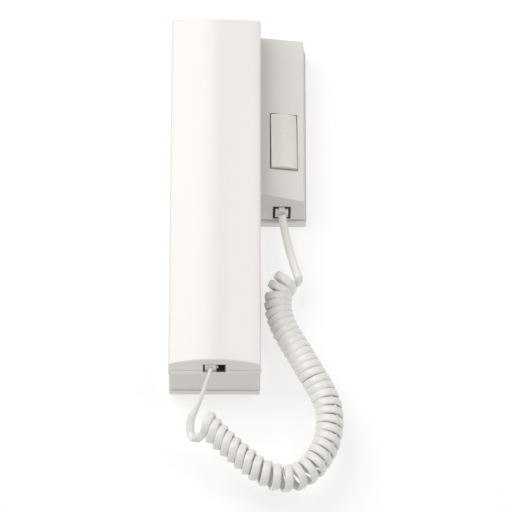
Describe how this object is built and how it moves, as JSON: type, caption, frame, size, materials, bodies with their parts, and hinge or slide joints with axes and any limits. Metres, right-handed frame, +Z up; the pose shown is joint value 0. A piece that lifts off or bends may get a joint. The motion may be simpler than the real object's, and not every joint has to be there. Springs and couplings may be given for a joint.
{
  "type": "door-entry wall handset",
  "caption": "Slim wall handset hung on a flag-shaped base, with a release button on the wing and a curly cord looping between them.",
  "frame": {"origin": "on the wall face of the back plate, midway between the two wall screws, on the column's centreline", "axes": "+Z up along the handset, front towards -Y, wall on the +Y side, the wing with the button towards +X"},
  "size_m": [0.1024, 0.053, 0.2887],
  "materials": {
    "base_plastic": "fine satin texture",
    "handset_plastic": "satin gloss",
    "button_plastic": "satin gloss",
    "circuit_board": "lacquered laminate",
    "steel": "zinc plated",
    "terminal_plastic": "moulded",
    "black_plastic": "moulded",
    "white_plastic": "moulded",
    "capacitor_sleeve": "shrink sleeve",
    "resistor_body": "lacquered",
    "wire_red": "insulated wire",
    "wire_blue": "insulated wire",
    "jack_plastic": "moulded",
    "contact_metal": "gold plated",
    "black_rubber": "moulded",
    "diaphragm": "thin film",
    "magnet_steel": "plated",
    "capsule_metal": "drawn can",
    "plug_plastic": "clear moulding, frosted by its inside",
    "cord_sheath": "soft vinyl"
  },
  "bodies": {
    "base": {"back_plate": "base_plastic", "base_cover": "base_plastic", "base_circuit_board": "circuit_board", "board_screws": "steel", "cover_screws": "steel", "terminal_block": "terminal_plastic", "terminal_screws": "steel", "control_chip": "black_plastic", "capacitors": "capacitor_sleeve", "resistors": "resistor_body", "sounder": "black_plastic", "sounder_leads": "wire_red", "base_jack": "jack_plastic", "base_jack_contacts": "contact_metal", "door_switch_body": "black_plastic", "hook_switch_body": "black_plastic", "hook_lever_pin": "steel", "base_plug": "plug_plastic", "base_plug_contacts": "contact_metal", "cord_base_tail": "cord_sheath", "cord_coil": "cord_sheath", "cord_handset_tail": "cord_sheath"},
    "handset": {"handset_front_shell": "handset_plastic", "handset_back_shell": "handset_plastic", "handset_screws": "steel", "receiver_gasket": "black_rubber", "receiver_frame": "black_plastic", "receiver_diaphragm": "diaphragm", "receiver_magnet": "magnet_steel", "microphone_boot": "black_rubber", "microphone_capsule": "capsule_metal", "handset_jack": "jack_plastic", "handset_jack_contacts": "contact_metal", "receiver_wires": "wire_blue", "microphone_wires": "wire_red", "handset_plug": "plug_plastic", "handset_plug_contacts": "contact_metal"},
    "hook_lever": {"hook_lever": "handset_plastic"},
    "hook_switch_plunger": {"hook_switch_plunger": "white_plastic"},
    "release_button": {"release_button": "button_plastic"},
    "door_switch_plunger": {"door_switch_plunger": "white_plastic"}
  },
  "joints": [
    {"name": "handset_lift", "type": "slide", "parent": "base", "child": "handset", "axis": [0, -0.866, 0.5], "range_m": [0, 0.045], "deforming": ["cord_coil", "cord_handset_tail"]},
    {"name": "hook_lever_turn", "type": "hinge", "parent": "base", "child": "hook_lever", "pos_m": [0, -0.019, 0.05824], "axis": [1, 0, 0], "range_deg": [0, 12]},
    {"name": "hook_plunger_slide", "type": "slide", "parent": "base", "child": "hook_switch_plunger", "axis": [0, -1, 0], "range_m": [0, 0.0015]},
    {"name": "release_press", "type": "hinge", "parent": "base", "child": "release_button", "pos_m": [0.04002, -0.02104, 0.05745], "axis": [0.9774, 0.2113, 0], "range_deg": [0, 4], "stiffness_Nm_per_rad": 0.8, "springref_deg": -1.15},
    {"name": "door_plunger_slide", "type": "slide", "parent": "base", "child": "door_switch_plunger", "axis": [0, 1, 0], "range_m": [0, 0.0015]}
  ],
  "couplings": [
    {"joint": "hook_lever_turn", "follows": "handset_lift", "rad_per_m": 4.65},
    {"joint": "hook_plunger_slide", "follows": "handset_lift", "ratio": 0.0333},
    {"joint": "door_plunger_slide", "follows": "release_press", "m_per_rad": 0.0214}
  ]
}
